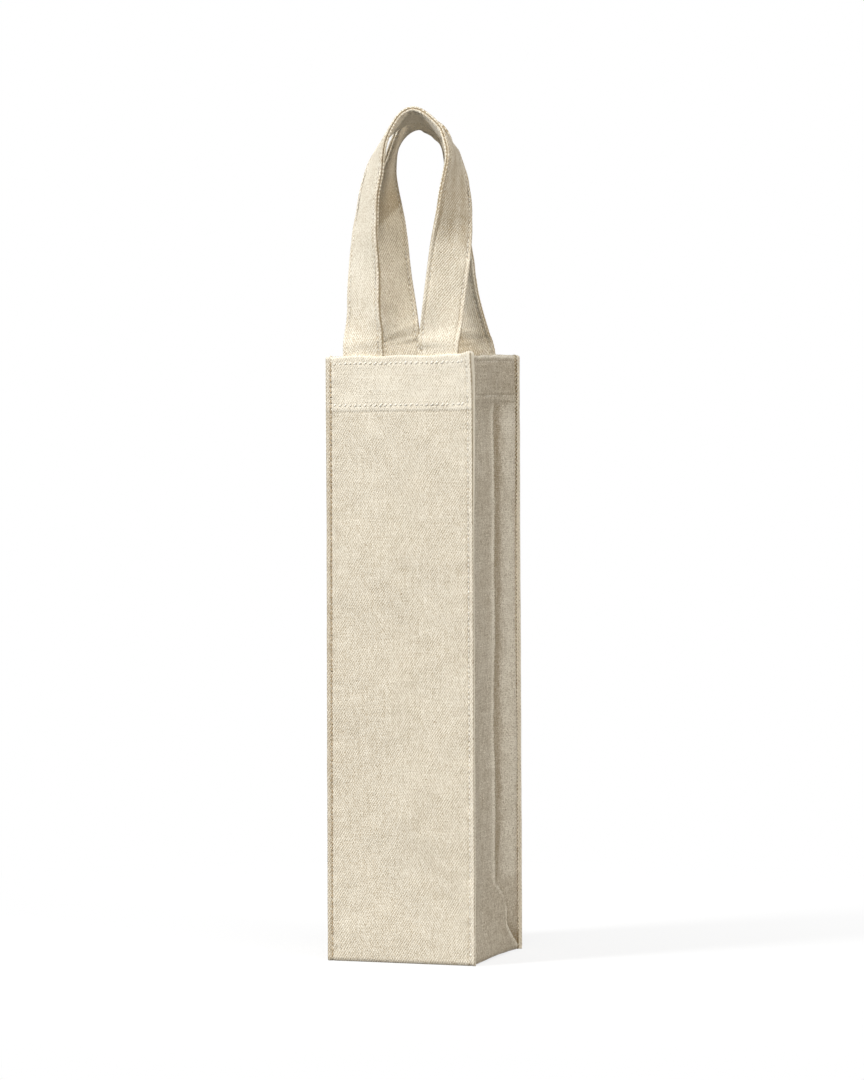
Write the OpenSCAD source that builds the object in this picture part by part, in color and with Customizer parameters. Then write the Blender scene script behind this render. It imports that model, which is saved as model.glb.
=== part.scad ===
// Tall gusseted canvas carrier with two self-fabric strap handles.
// Origin: centre of the base, on the ground. +Z up, front panel faces -Y.

/* [Body] */
// Width across the front panel, flange edge to flange edge
body_w = 88; // [84:1:110]
// Depth from the front panel to the back panel, outer faces
body_d = 88; // [84:1:110]
// Height from the ground to the top of the hem
body_h = 344; // [280:1:380]
// Thickness of one layer of canvas
cloth_t = 0.9; // [0.6:0.1:1.1]

/* [Gussets] */
// Width of the stitched flange that stands out at each upright edge
flange_w = 3.4; // [3:0.1:4.4]
// How far the gusset stays inside the edge of the panels
web_inset = 1.1; // [0.6:0.1:1.8]
// Length of the rounded run from the flange root to the flat of the gusset
shoulder_run = 5; // [3.5:0.5:8]
// How far the centre crease is folded in
crease_in = 2.3; // [1:0.1:5]
// Height of the point where the centre crease ends above the base
crease_foot = 44; // [34:1:56]

/* [Hem] */
// Height of the turned hem, which is also the height of its lower stitch row
hem_h = 27; // [20:1:35]
// Distance of the upper stitch row below the top edge
edge_row = 3.4; // [2:0.2:5]

/* [Handles] */
// Width of the folded strap
strap_w = 24; // [20:0.5:26]
// Thickness of the folded strap
strap_t = 2.9; // [2:0.1:3.3]
// Distance from the root of a flange to the outer edge of the nearer leg
leg_inset = 6.3; // [5.5:0.1:9]
// Height of the front loop's crown above the top of the hem
loop_rise = 140; // [110:1:170]
// How much lower the back loop's crown lies
back_drop = 10; // [0:1:15]
// How far the crown leans in over the mouth
loop_lean = 25.5; // [22:0.5:26]
// How far the front loop's left leg bows outwards at half height
front_left_bow = 4.5; // [0:0.5:5]
// How far the front loop's right leg bows outwards at half height
front_right_bow = 3; // [0:0.5:5]
// How far the back loop's left leg bows outwards at half height
back_left_bow = 3; // [0:0.5:5]
// How far the back loop's right leg bows outwards at half height
back_right_bow = -8; // [-8:0.5:5]
// How far the crown of the front loop sways sideways
front_sway = 3; // [-6:0.5:6]
// How far the crown of the back loop sways sideways
back_sway = -6.5; // [-7:0.5:6]
// How far to one side of the middle the back handle is sewn on
back_shift = -3.5; // [-4:0.5:4]
// Distance of a strap's stitch rows from its edges
strap_row = 2.3; // [1.6:0.1:4]

/* [Thread] */
// Width of a row of stitches
thread_w = 0.55; // [0.4:0.05:0.7]
// Height that the thread stands proud of the cloth
thread_t = 0.25; // [0.2:0.05:0.4]
// Distance of the upright seam's stitches from the edge of the flange
seam_row = 2.6; // [2.2:0.1:2.8]

/* [Hidden] */

// Clearance between pieces that are sewn but not fused
seam_gap = 0.1;
// Clearance between a loop and the strap end that it hinges on
hinge_gap = 0.3;
// Length by which a cut runs past the surface that it opens
overrun = 1;

// Inner face of a panel's outer layer, and of its turned layer
panel_in = body_d / 2 - cloth_t;
layer_in = panel_in - cloth_t;
// Middle of a strap where it lies against the turned hem
strap_y = layer_in - strap_t / 2;

// Gusset outline from above: root at the flange, shoulder, and crease
root_x = body_w / 2 - flange_w;
shoulder_x = body_w / 2 - web_inset;
crease_x = shoulder_x - crease_in;
shoulder_y = layer_in - shoulder_run;
// Distance between the centres of the two legs of a handle
leg_spacing = 2 * (root_x - leg_inset) - strap_w;
// Plane well inside the gusset, where its working solids end
core_x = crease_x - 8 * cloth_t;

// Rings along half of a loop, and how strongly they crowd towards the crown
half_rings = 28;
crown_power = 2;
// Exponents of the arch that a loop follows
front_arch_power = 10;
back_arch_power = 8;
arch_root = 1.6;
lean_power = 1.2;
sway_power = 1.5;
// Turns of each leg about the upright: degrees, then the shares of the rise where the turn starts and ends
front_left_turn_shares = [[48, 0, 0.6], [37, 0.67, 1]];
front_right_turn_shares = [[21, 0, 0.25], [68, 0.36, 0.85], [6, 0.8, 1]];
back_left_turn_shares = [[48, 0, 0.4], [46, 0.44, 1]];
back_right_turn_shares = [[30, 0, 0.25], [52, 0.5, 0.9], [4, 0.8, 1]];
// Share of a strap's thickness that its edges are rounded by
edge_round_share = 0.25;

// Form of a loop: shift, sway, rise, arch exponent, bows and turns of its left and right legs
front_form = [
    0, front_sway, loop_rise, front_arch_power,
    [front_left_bow, front_right_bow],
    [front_left_turn_shares, front_right_turn_shares]
];
back_form = [
    back_shift, back_sway, loop_rise - back_drop, back_arch_power,
    [back_left_bow, back_right_bow],
    [back_left_turn_shares, back_right_turn_shares]
];

canvas = "#d9cdb4";
canvas_shade = "#bfb196";
strap_cloth = "#d6c9ad";
thread_white = "#efe8d8";
thread_brown = "#8a7354";

// A panel: outer layer over the full width and the turned layer inside the hem
module panel(side) {
    inner_w = 2 * (root_x - cloth_t - seam_gap);
    color(canvas)
        mirror([0, side > 0 ? 1 : 0, 0])
            translate([0, -body_d / 2, 0])
                union() {
                    translate([-body_w / 2, 0, 0])
                        cube([body_w, cloth_t, body_h]);
                    translate([-inner_w / 2, 0, body_h - hem_h])
                        cube([inner_w, 2 * cloth_t, hem_h]);
                }
}

// Everything inside a gusset's outer face, moved out by dx, grown by grow and tucked into the flanges
module web_mass(dx, grow = 0, tuck = 0) {
    in_x = core_x - grow;
    end_y = layer_in + tuck + grow;
    half = concat(
        [[shoulder_x + dx, shoulder_y], [root_x + dx, layer_in]],
        end_y > layer_in ? [[root_x + dx, end_y]] : [],
        [[in_x, end_y]]
    );
    translate([0, 0, -grow])
        linear_extrude(body_h + 2 * grow)
            polygon(concat(
                [[crease_x + dx, 0]],
                half,
                [for (i = [len(half) - 1 : -1 : 0]) [half[i].x, -half[i].y]]
            ));
    // Flat triangle that the crease opens into above the base
    translate([0, shoulder_y, 0])
        rotate([90, 0, 0])
            linear_extrude(2 * shoulder_y)
                polygon([
                    [in_x, -grow],
                    [shoulder_x + dx, -grow],
                    [shoulder_x + dx, 0],
                    [crease_x + dx, crease_foot],
                    [in_x, crease_foot]
                ]);
}

// Slab between two heights, wide enough to trim the right gusset to
module height_band(low, high) {
    translate([core_x - overrun, -body_d / 2, low])
        cube([body_w / 2 - core_x + 2 * overrun, body_d, high - low]);
}

// The right gusset: folded web, double layer at the hem, and both flanges
module right_web() {
    difference() {
        web_mass(0, tuck = cloth_t / 2);
        web_mass(-cloth_t, overrun, cloth_t);
    }
    intersection() {
        difference() {
            web_mass(0);
            web_mass(-2 * cloth_t, overrun);
        }
        height_band(body_h - hem_h, body_h);
    }
    for (side = [-1, 1])
        translate([root_x - cloth_t, side > 0 ? layer_in : -panel_in, 0])
            cube([flange_w + cloth_t, cloth_t, body_h]);
}

module gusset(side) {
    color(canvas_shade)
        mirror([side < 0 ? 1 : 0, 0, 0])
            right_web();
}

// Base panel, cut to lie between the panels and inside both gussets
module base_panel() {
    near_x = root_x - cloth_t - seam_gap;
    far_x = shoulder_x - cloth_t - seam_gap;
    half = [
        [near_x, -panel_in],
        [near_x, -layer_in],
        [far_x, -shoulder_y],
        [far_x, shoulder_y],
        [near_x, layer_in],
        [near_x, panel_in]
    ];
    color(canvas)
        linear_extrude(cloth_t)
            polygon(concat(half, [for (i = [len(half) - 1 : -1 : 0]) [-half[i].x, half[i].y]]));
}

// Sewn-in end of a strap, flat on the inside of the hem
module strap_end(side_x, side_y, shift) {
    color(strap_cloth)
        translate([
            shift + side_x * leg_spacing / 2 - strap_w / 2,
            side_y > 0 ? strap_y - strap_t / 2 : -layer_in,
            body_h - hem_h
        ])
            cube([strap_w, strap_t, hem_h]);
}

// Ring k of 2 * half_rings: share of the rise, crowded towards the crown
function rise_share(k) = 1 - pow(1 - min(k, 2 * half_rings - k) / half_rings, crown_power);
function ring_side(k) = sign(k - half_rings);
// 0 for the left leg and 1 for the right leg
function ring_leg(k) = k > half_rings ? 1 : 0;
// Bowed legs under a rounded, slightly peaked arch
function leg_x(u, bow, arch_power) =
    (leg_spacing / 2 + bow * sin(180 * u)) * pow(1 - pow(u, arch_power), 1 / arch_root);
function loop_centre(k, form) =
    let (u = rise_share(k))
    [
        form[0] + ring_side(k) * leg_x(u, form[4][ring_leg(k)], form[3]) + form[1] * pow(u, sway_power),
        -strap_y + loop_lean * pow(u, lean_power),
        body_h + hinge_gap + (form[2] - hinge_gap) * u
    ];
// Smooth step from 0 at the share start to 1 at the share end
function smooth_step(u, start, end) =
    let (f = min(max((u - start) / (end - start), 0), 1))
    f * f * (3 - 2 * f);
// Sum of the turns that a leg has made at share u of the rise
function turned(u, turns) =
    [for (turn = turns) turn[0] * smooth_step(u, turn[1], turn[2])] * [for (turn = turns) 1];
// Direction across the strap, from the inner edge to the outer edge
function loop_across(k, form) =
    let (
        leg = ring_leg(k),
        turn = turned(rise_share(k), form[5][leg]),
        angle = leg == 1 ? 180 - turn : turn
    )
    [-cos(angle), sin(angle), 0];
function unit(v) = v / norm(v);
// Direction along the strap: straight up or down at its ends
function loop_along(k, form) =
    k == 0 ? [0, 0, 1] :
    k == 2 * half_rings ? [0, 0, -1] :
    unit(loop_centre(k + 1, form) - loop_centre(k - 1, form));

// Band of a given outline [across, out] carried along a loop
module loop_band(outline, form) {
    sides = len(outline);
    last = 2 * half_rings;
    points = [
        for (k = [0 : last])
            let (
                centre = loop_centre(k, form),
                across = loop_across(k, form),
                out = unit(cross(loop_along(k, form), across))
            )
            for (p = outline) centre + across * p.x + out * p.y
    ];
    walls = [
        for (k = [0 : last - 1])
            for (i = [0 : sides - 1])
                let (
                    a = k * sides + i,
                    b = k * sides + (i + 1) % sides
                )
                each [[a, a + sides, b], [b, a + sides, b + sides]]
    ];
    first_cap = [for (i = [1 : sides - 2]) [0, i, i + 1]];
    last_cap = [for (i = [1 : sides - 2]) [last * sides, last * sides + i + 1, last * sides + i]];
    polyhedron(points = points, faces = concat(walls, first_cap, last_cap));
}

// Outer half of the strap's section: rounded edges, with a line of points under each stitch row
function strap_face() =
    let (
        half_w = strap_w / 2,
        half_t = strap_t / 2,
        round = strap_t * edge_round_share,
        row = half_w - strap_row
    )
    [
        [half_w, half_t - round], [half_w - round, half_t],
        [row + thread_w / 2, half_t], [row - thread_w / 2, half_t],
        [-row + thread_w / 2, half_t], [-row - thread_w / 2, half_t],
        [-half_w + round, half_t], [-half_w, half_t - round]
    ];

module loop(side, form) {
    color(strap_cloth)
        mirror([0, side > 0 ? 1 : 0, 0])
            loop_band(concat(strap_face(), -strap_face()), form);
}

// The two stitch rows of a loop, on its outer and its inner face
module loop_thread(side, form) {
    color(thread_white)
        mirror([0, side > 0 ? 1 : 0, 0])
            for (edge = [-1, 1])
                for (face = [-1, 1])
                    loop_band(row_section(edge * (strap_w / 2 - strap_row), face), form);
}

// Outline of one stitch row, just clear of one face of the strap
function row_section(middle, face) =
    let (
        lift = strap_t / 2 + seam_gap,
        low = face > 0 ? lift : -lift - thread_t,
        high = low + thread_t
    )
    [
        [middle - thread_w / 2, low], [middle + thread_w / 2, low],
        [middle + thread_w / 2, high], [middle - thread_w / 2, high]
    ];

// Needle thread and bobbin thread of one upright seam
module seam_thread(side_x, side_y) {
    color(thread_brown)
        mirror([side_x < 0 ? 1 : 0, 0, 0])
            mirror([0, side_y > 0 ? 1 : 0, 0])
                for (y = [-body_d / 2 - thread_t, -layer_in])
                    translate([body_w / 2 - seam_row - thread_w / 2, y, edge_row / 2])
                        cube([thread_w, thread_t, body_h - edge_row]);
}

// A row of stitches right round the hem, at one distance below its top edge
module hem_row(below) {
    panel_half = body_w / 2 - seam_row - thread_w;
    low = body_h - below - thread_w / 2;
    color(thread_white) {
        for (side = [0, 1])
            mirror([0, side, 0])
                translate([-panel_half, -body_d / 2 - thread_t, low])
                    cube([2 * panel_half, thread_t, thread_w]);
        for (side = [0, 1])
            mirror([side, 0, 0])
                intersection() {
                    difference() {
                        web_mass(thread_t);
                        web_mass(0, overrun);
                    }
                    translate([core_x, -shoulder_y, low])
                        cube([body_w / 2 - core_x, 2 * shoulder_y, thread_w]);
                }
    }
}

panel(-1);  // front_panel
panel(1);  // back_panel
gusset(-1);  // left_gusset
gusset(1);  // right_gusset
base_panel();
loop(-1, front_form);  // front_handle_loop
loop(1, back_form);  // back_handle_loop
strap_end(-1, -1, 0);  // front_left_strap_end
strap_end(1, -1, 0);  // front_right_strap_end
strap_end(-1, 1, back_shift);  // back_left_strap_end
strap_end(1, 1, back_shift);  // back_right_strap_end
seam_thread(-1, -1);  // front_left_seam_thread
seam_thread(1, -1);  // front_right_seam_thread
seam_thread(-1, 1);  // back_left_seam_thread
seam_thread(1, 1);  // back_right_seam_thread
hem_row(edge_row);  // top_edge_thread
hem_row(hem_h);  // hem_thread
loop_thread(-1, front_form);  // front_handle_thread
loop_thread(1, back_form);  // back_handle_thread
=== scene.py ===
"""A tall gusseted canvas carrier: unbleached twill, turned hem, stitched flanges, two folded strap handles.

Cloth shapes are worked out in millimetres and written into the meshes in metres.
"""
import math

import bpy
import numpy as np
from mathutils import Matrix, Vector


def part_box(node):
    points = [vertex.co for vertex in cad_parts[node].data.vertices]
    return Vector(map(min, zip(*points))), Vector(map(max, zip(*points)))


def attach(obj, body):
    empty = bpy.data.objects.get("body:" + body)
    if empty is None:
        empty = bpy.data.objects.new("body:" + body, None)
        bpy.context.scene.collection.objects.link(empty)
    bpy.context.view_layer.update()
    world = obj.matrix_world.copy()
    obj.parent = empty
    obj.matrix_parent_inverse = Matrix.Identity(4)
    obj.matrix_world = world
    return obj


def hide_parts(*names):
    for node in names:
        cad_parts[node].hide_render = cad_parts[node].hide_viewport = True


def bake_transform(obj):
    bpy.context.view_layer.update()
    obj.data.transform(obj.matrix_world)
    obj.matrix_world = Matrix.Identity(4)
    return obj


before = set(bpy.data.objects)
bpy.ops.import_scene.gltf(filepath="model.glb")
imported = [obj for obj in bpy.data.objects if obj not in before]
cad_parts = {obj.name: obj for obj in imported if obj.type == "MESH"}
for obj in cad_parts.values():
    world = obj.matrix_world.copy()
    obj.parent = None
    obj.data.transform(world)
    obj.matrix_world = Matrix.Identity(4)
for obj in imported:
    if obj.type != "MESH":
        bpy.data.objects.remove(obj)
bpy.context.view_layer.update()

MM = 0.001


def node_box(name):
    """Lowest and highest corner of a frame node, in millimetres."""
    low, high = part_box(name)
    return np.array(low) / MM, np.array(high) / MM


# Sizes taken from the frame, in millimetres
panel_low, panel_high = node_box("front_panel")
end_low, end_high = node_box("front_right_strap_end")
back_end_low, back_end_high = node_box("back_right_strap_end")
loop_top = node_box("front_handle_loop")[1][2]
back_loop_top = node_box("back_handle_loop")[1][2]

HALF_W = panel_high[0]
HALF_D = -panel_low[1]
HEIGHT = panel_high[2]
HEM = HEIGHT - end_low[2]
STRAP_W = end_high[0] - end_low[0]
STRAP_T = end_high[1] - end_low[1]
LEG_X = (end_low[0] + end_high[0]) / 2
BACK_SHIFT = (back_end_low[0] + back_end_high[0]) / 2 - LEG_X
STRAP_Y = -(end_low[1] + end_high[1]) / 2
LOOP_RISE = loop_top - HEIGHT - STRAP_T / 2
BACK_RISE = back_loop_top - HEIGHT - STRAP_T / 2

# Thickness of the cloth, and the step from one layer to the next
CLOTH = 0.86
LAYER = 0.95

# Upright flanges: their width, seam row and groove, and where the gusset's web starts inside them
FLANGE = 3.4
ROOT_X = HALF_W - FLANGE
SHOULDER_X = HALF_W - 1.1
SEAM_ROW = 2.7
SEAM_GROOVE = SEAM_ROW + 0.35
WEB_MARGIN = 2.6
LIP_POINTS = 9
FLARE_START = 225

# Pleat of the gussets, the height of its foot, the arch of the side walls' feet, the fold line at the base
PLEAT = 2.3
PLEAT_FOOT = 44.0
FOOT_ARCH = 1.0
FOOT_LINE = 1.1

# Rows and turned edges of the hem, measured down from the top; the gussets' hem is shallower than the panels'
TURN_IN = 3.4
HEM_TURN = HEM + TURN_IN
SIDE_HEM = HEM - 4.2
SIDE_TURN = SIDE_HEM + TURN_IN
EDGE_ROW = 3.4

# Pitch of the stitches, inset of the strap's rows, how high thread lies, and the pitches of the yarns
STITCH = 3.0
STRAP_ROW = 2.3
THREAD_LIFT = 0.12
WARP = 0.48
WEFT = 0.755


# Meshes

def new_piece(name, points, faces, uv, mark, values):
    """A mesh object from points and faces, with each point's place on the flat cloth and one marked value."""
    mesh = bpy.data.meshes.new(name)
    mesh.from_pydata((points * MM).tolist(), [], faces)
    layer = mesh.uv_layers.new(name="cloth")
    corner = np.empty(len(mesh.loops), int)
    mesh.loops.foreach_get("vertex_index", corner)
    layer.data.foreach_set("uv", (uv[corner] * MM).ravel())
    attribute = mesh.attributes.new(mark, "FLOAT", "POINT")
    attribute.data.foreach_set("value", values.ravel().astype(np.float32))
    mesh.polygons.foreach_set("use_smooth", [True] * len(mesh.polygons))
    mesh.update()
    return link(bpy.data.objects.new(name, mesh))


def link(made):
    """Puts an object into the scene."""
    bpy.context.scene.collection.objects.link(made)
    return made


def steps(stops, sizes):
    """Rising values through the stops, each stretch in steps of about its own size."""
    parts = [
        np.linspace(a, b, max(1, int(round((b - a) / size))) + 1)[:-1]
        for a, b, size in zip(stops, stops[1:], sizes)
    ]
    return np.append(np.concatenate(parts), stops[-1])


def tube_faces(rings, sides):
    """Quads of a tube: each ring of points is joined to the next, and its last side to its first."""
    i, j = np.meshgrid(np.arange(rings - 1), np.arange(sides), indexing="ij")
    here, there = i * sides + j, i * sides + (j + 1) % sides
    return np.stack([here, here + sides, there + sides, there], -1).reshape(-1, 4)


def unit(vectors):
    """Each vector scaled to length one."""
    return vectors / np.maximum(np.linalg.norm(vectors, axis=-1, keepdims=True), 1e-9)


def surface_normals(mid):
    """Unit normals of a grid of points: cross product of its column and row directions."""
    return unit(np.cross(np.gradient(mid, axis=1), np.gradient(mid, axis=0)))


def path_lengths(path):
    """Distance of each point of a path from its first: the running sum of its straight steps."""
    return np.append(0, np.cumsum(np.linalg.norm(np.diff(path, axis=0), axis=1)))


def along_path(where, length, values):
    """Rows of three values at given distances along a path, straight between its own points."""
    return np.stack([np.interp(where, length, values[:, k]) for k in range(3)], -1)


def edge_round(count, rings=3):
    """Share of the half thickness along a side: a quarter circle over the last few rows."""
    place = np.minimum(np.arange(count), np.arange(count)[::-1]) / rings
    return np.sqrt(1 - np.clip(1 - place, 0, 0.93) ** 2)


def cloth_shell(name, mid, uv, relief=0.0, shade=0.0, behind=0.0):
    """A closed sheet: both faces stand off a grid of mid points by half a thickness, rounded at all edges.

    relief is added to the outer face along its normal. shade is that face's painted shade and painted light,
    and behind the other one's; both go into the point mark shade.
    """
    rows, cols = mid.shape[:2]
    normal = surface_normals(mid)
    half = CLOTH / 2 * edge_round(rows)[:, None] * edge_round(cols)
    face = mid + normal * (half + relief)[..., None]
    rear = mid - normal * half[..., None]
    points = np.concatenate([face.reshape(-1, 3), rear.reshape(-1, 3)])
    points[:, 2] = np.maximum(points[:, 2], 0)
    count = rows * cols
    number = np.arange(count).reshape(rows, cols)
    quads = np.stack([number[:-1, :-1], number[:-1, 1:], number[1:, 1:], number[1:, :-1]], -1).reshape(-1, 4)
    rim = np.concatenate([number[0], number[1:-1, -1], number[-1, ::-1], number[-2:0:-1, 0]])
    following = np.roll(rim, -1)
    walls = np.stack([rim, rim + count, following + count, following], -1)
    faces = np.concatenate([quads, quads[:, ::-1] + count, walls])
    tone = np.stack([np.broadcast_to(value, (rows, cols)) for value in (shade, behind)])
    return new_piece(name, points, faces.tolist(), np.concatenate([uv.reshape(-1, 2)] * 2), "shade", tone)


# Shapes of the cloth

def bump(distance, width):
    """A rounded bump of height one: the normal curve of a distance."""
    return np.exp(-((distance / width) ** 2))


def smooth_step(u, start, end):
    """0 up to start, 1 from end on, and a smooth rise between them."""
    share = np.clip((u - start) / (end - start), 0, 1)
    return share * share * (3 - 2 * share)


def soft_edge(distance, width):
    """1 well before zero and 0 well past it: a logistic curve whose slope is set by the width."""
    return 1 / (1 + np.exp(np.minimum(distance / width, 60)))


def smooth_along(values, width):
    """Values along a line, averaged over a rounded window, with the ends held."""
    kernel = np.hanning(width + 2)[1:-1]

    def averaged(column):
        return np.convolve(np.pad(column, width // 2, mode="edge"), kernel / kernel.sum(), mode="valid")
    return np.apply_along_axis(averaged, 0, values)


def ripple(u, v, seed, wave, amount):
    """Sum of a dozen slanted sines with random directions and phases: soft waves about one wave long."""
    random = np.random.default_rng(seed)
    total = np.zeros(np.broadcast(u, v).shape)
    for _ in range(12):
        angle = random.uniform(0, math.pi)
        length = wave * random.uniform(0.7, 1.8)
        phase = random.uniform(0, 2 * math.pi)
        total += np.sin(2 * math.pi * (u * math.cos(angle) + v * math.sin(angle)) / length + phase)
    return total * amount / math.sqrt(6)


def settle(points):
    """How the sewn bag stands out of square, in proportion to the height.

    It narrows and drifts left, its front edge climbs to the right and its back edge drops. A bump of distance
    pulls the front right corner up and in, and the top edge is wavy.
    """
    x, y, z = points[..., 0], points[..., 1], points[..., 2]
    rise = np.clip(z / HEIGHT, 0, 1)
    width = 1.006 - 0.0135 * rise
    drift = 0.68 - 1.3 * rise
    slope = (x / HALF_W - 0.2) * np.clip(-y / HALF_D, 0, 1) - 1.3 * np.clip(y / HALF_D, 0, 1)
    corner = bump(x - HALF_W + 1.5, 4.0) * bump(y + HALF_D, 3.0) * bump(z - HEIGHT, 9.0)
    wavy = (0.35 * np.sin(x / 4.6 + 1) + 0.25 * np.sin(y / 3.7)) * bump(z - HEIGHT, 3.0)
    return np.stack([
        x * width + drift - 0.8 * corner,
        y - 0.9 * corner,
        z + rise * slope + 1.9 * corner + wavy,
    ], -1)


def folded_over(outer, inner, bend_rows=7):
    """Joins an outer and an inner grid of rows by a half circle over their top edges."""
    top, under = outer[-1], inner[0]
    middle = (top + under) / 2
    reach = (top - under) / 2
    radius = np.linalg.norm(reach, axis=-1, keepdims=True)
    turn = np.linspace(0, math.pi, bend_rows)[1:-1, None, None]
    bend = middle + np.cos(turn) * reach + np.sin(turn) * radius * [0, 0, 1]
    return np.concatenate([outer, bend, inner])


def flat_rows(mid):
    """Place of each row of a sheet on its flat cloth: distance from the first, down the middle column."""
    return path_lengths(mid[:, mid.shape[1] // 2])


# Rows of every standing sheet: up the outside, and from the top edge down the inside
OUT_ROWS = steps([0, 3, 12, HEIGHT - HEM_TURN - 4, HEIGHT - 0.5], [0.5, 1.0, 1.6, 0.6])
IN_ROWS = steps([0.5, 4, HEM_TURN], [0.7, 0.8])
OUT_COUNT = len(OUT_ROWS)
BENT = slice(OUT_COUNT, OUT_COUNT + 6)


def stitched(distance, along, depth):
    """Groove that a stitch row pulls into cloth, deepest at each needle hole, with a ridge on both sides."""
    pull = 0.75 + 0.25 * np.cos(2 * math.pi * along / STITCH)
    return -depth * pull * bump(distance, 0.8) + 0.4 * depth * bump(np.abs(distance) - 1.9, 0.8)


def panel_relief(x, z, seed):
    """Relief of a panel's outer face, as a sum.

    Steps at the flanges and the hem, grooves in the stitch rows, creases at the turned edge and the foot, and
    slow sines that pucker the cloth beside the rows.
    """
    side, below = HALF_W - np.abs(x), HEIGHT - z
    flange = 0.30 * soft_edge(side - SEAM_ROW, 0.22)
    seam = stitched(side - SEAM_GROOVE, z, 0.40)
    rows = stitched(below - EDGE_ROW, x, 0.12) + stitched(below - HEM, x, 0.12)
    turned = 0.22 * soft_edge(below - HEM_TURN, 0.25) - 0.16 * bump(below - HEM_TURN - 0.5, 0.5)
    foot = -0.14 * bump(z - FOOT_LINE, 0.40)
    pucker_up = 0.12 * np.sin(2 * math.pi * z / 9.0 + 2 * np.sin(z / 23)) * bump(side - 5, 3.0)
    pucker_across = 0.10 * np.sin(2 * math.pi * x / 8.0 + np.sin(x / 9)) * bump(below - 9, 4.0)
    return flange + seam + rows + turned + foot + pucker_up + pucker_across + ripple(x, z, seed, 14, 0.035)


def panel_shade(x, z):
    """Painted shade and painted light on a panel's outer face, as a sum: minus is darker.

    Painted shade on the left flange, in the seam grooves, under the turned edge and along the foot; painted
    light on the hem, its rows, the ridge over the turned edge and the right flange, and towards the top.
    """
    side, below = HALF_W - np.abs(x), HEIGHT - z
    right = x / HALF_W
    seam = -(0.40 - 0.25 * np.sign(x)) * bump(side - SEAM_GROOVE, 0.7)
    flange = (0.40 * np.sign(x) - 0.05) * soft_edge(side - SEAM_ROW + 0.5, 0.25)
    rows = 0.25 * (bump(below - EDGE_ROW, 0.9) + bump(below - HEM, 0.9))
    under_turn = -(0.26 + 0.14 * right) * bump(below - HEM_TURN - 0.4, 0.5)
    over_turn = 0.15 * bump(below - HEM_TURN + 0.8, 0.8)
    foot = -0.45 * np.clip(right + 0.4, 0, 1) * bump(z - FOOT_LINE, 0.4)
    hem = 0.30 * soft_edge(below - HEM_TURN, 0.5)
    upper = 0.20 * np.clip(z / HEIGHT - 0.65, 0, 1) / 0.35
    return seam + flange + rows + under_turn + over_turn + foot + hem + upper


def panel_slack(x, z, seed):
    """How far a panel stands out from flat: a long slack belly, soft waves, and its foot drawn in."""
    rise = np.clip(z / HEIGHT, 0, 1)
    across = np.cos(math.pi / 2 * np.clip(x / HALF_W, -1, 1)) ** 1.3
    belly = 0.9 * np.sin(math.pi * rise ** 0.8) * across
    waves = ripple(x, z, seed, 70, 0.42) * across * np.clip(z / 30, 0, 1)
    small = ripple(x, z, seed + 1, 26, 0.11) * np.clip(z / 12, 0, 1)
    foot = -0.9 * np.clip(1 - z / 2.2, 0, 1) ** 2
    return belly + waves + small + foot


def panel_face(x, z, seed):
    """Distance from the bag's middle plane to thread that lies on a panel's outer face."""
    return HALF_D + panel_slack(x, z, seed) + panel_relief(x, z, seed) + THREAD_LIFT


def make_panel(name, side, seed):
    """Front (-1) or back (1) panel: one sheet that rises, folds over the top and hangs inside as the hem.

    The outside stands off the wall's plane by its slack. The inside hangs a layer behind it.
    """
    edge = HALF_W + 0.3 * side
    x = steps([-edge, -HALF_W + 6, HALF_W - 6, edge], [0.4, 1.5, 0.4])
    wall_y = -HALF_D + CLOTH / 2
    grid_x, grid_z = np.meshgrid(x, OUT_ROWS)
    outer = np.stack([grid_x, wall_y - panel_slack(grid_x, grid_z, seed), grid_z], -1)
    drop_x, drop = np.meshgrid(x, IN_ROWS)
    narrow = 1 - (FLANGE + 2.2) / HALF_W * np.clip(drop / 3, 0, 1)
    inner_y = wall_y + LAYER - panel_slack(drop_x, HEIGHT - drop, seed)
    inner = np.stack([drop_x * narrow, inner_y, HEIGHT - drop], -1)
    mid = settle(folded_over(outer, inner) * [1, -side, 1])
    length = flat_rows(mid)
    relief, shade = np.zeros(mid.shape[:2]), np.zeros(mid.shape[:2])
    relief[:OUT_COUNT] = panel_relief(grid_x, grid_z, seed)
    relief[OUT_COUNT:] = relief[OUT_COUNT - 1] * np.linspace(1, 0, len(length) - OUT_COUNT)[:, None] ** 4
    shade[:OUT_COUNT] = panel_shade(grid_x, grid_z)
    # Painted highlight along the fold over the top edge; painted shadow along the front panel's cut edges,
    # strongest high up; painted highlight on the back panel's edges and painted light on its inner face.
    shade[BENT] = 0.6
    painted_edge_shadow = -0.8 - 2.4 * smooth_step(mid[..., 2], FLARE_START, 300)[:, [0, -1]]
    painted_edge_highlight, painted_inside_light = 2.4, 0.8
    shade[:, [0, -1]] += painted_edge_highlight if side > 0 else painted_edge_shadow
    uv = np.stack(np.broadcast_arrays(x[None, :], length[:, None]), -1)
    if side > 0:
        mid, relief, shade, uv = (grid[:, ::-1] for grid in (mid, relief, shade, uv * [-1, 1]))
    return cloth_shell(name, mid, uv, relief, shade, painted_inside_light if side > 0 else 0.0)


# Creases between the end of the pleat and the bag's corners: shares of the half depth and of the pleat's foot
CREASE_REACH = [HALF_D - 3.0, PLEAT_FOOT]
REAR_CREASE = np.array([
    [-0.04, 1.00], [0.19, 0.90], [0.36, 0.81], [0.47, 0.72], [0.53, 0.62],
    [0.52, 0.48], [0.49, 0.37], [0.68, 0.25], [0.84, 0.14], [1.00, 0.04],
]) * CREASE_REACH
FRONT_CREASE = np.array([[-0.10, 1.0], [0.45, 0.52], [1.0, 0.04]]) * CREASE_REACH


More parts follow.
